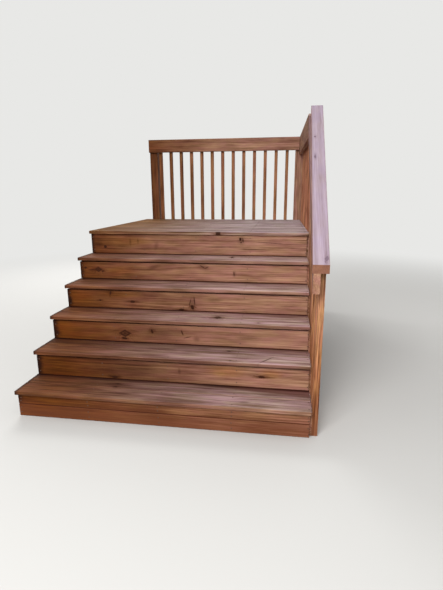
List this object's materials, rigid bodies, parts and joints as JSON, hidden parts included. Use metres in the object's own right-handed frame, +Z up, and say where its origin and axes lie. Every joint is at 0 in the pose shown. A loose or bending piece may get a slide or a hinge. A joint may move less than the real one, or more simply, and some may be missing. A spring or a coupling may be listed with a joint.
{
  "type": "wooden deck stairs",
  "caption": "Closed-riser wooden steps that climb to a small landing beside a wall, with a baluster railing along the back, the open side and down the steps.",
  "frame": {"origin": "centre of the footprint's bounding box, at ground level", "axes": "+Z up, +Y horizontally up the steps towards the back railing, +X along the treads from the wall side to the open side"},
  "size_m": [1.94, 2.936, 2.0566],
  "materials": {
    "tread_boards": "weathered brown stain",
    "riser_boards": "brown stain, satin",
    "framing": "brown stain, matt",
    "railing": "brown stain, satin",
    "handrail_cap": "bleached stain"
  },
  "bodies": {
    "root": {"tread_1": "tread_boards", "tread_2": "tread_boards", "tread_3": "tread_boards", "tread_4": "tread_boards", "tread_5": "tread_boards", "riser_1_ground_board": "riser_boards", "riser_1": "riser_boards", "riser_2": "riser_boards", "riser_3": "riser_boards", "riser_4": "riser_boards", "riser_5": "riser_boards", "riser_6": "riser_boards", "stringer_1": "framing", "stringer_2": "framing", "stringer_3": "framing", "stringer_4": "framing", "stringer_5": "framing", "deck_board_1": "tread_boards", "deck_board_2": "tread_boards", "deck_board_3": "tread_boards", "deck_board_4": "tread_boards", "deck_board_5": "tread_boards", "deck_board_6": "tread_boards", "deck_board_7": "tread_boards", "deck_board_8": "tread_boards", "deck_board_9": "tread_boards", "deck_board_10": "tread_boards", "deck_board_11": "tread_boards", "front_header": "framing", "back_rim": "framing", "house_ledger": "framing", "joist_1": "framing", "joist_2": "framing", "joist_3": "framing", "side_rim": "framing", "house_corner_post": "railing", "open_corner_post": "railing", "stair_top_post": "railing", "back_rail": "railing", "back_balusters": "railing", "side_rail": "railing", "side_balusters": "railing", "stair_rail": "railing", "stair_balusters": "railing", "stair_rail_cap": "handrail_cap"}
  },
  "joints": []
}
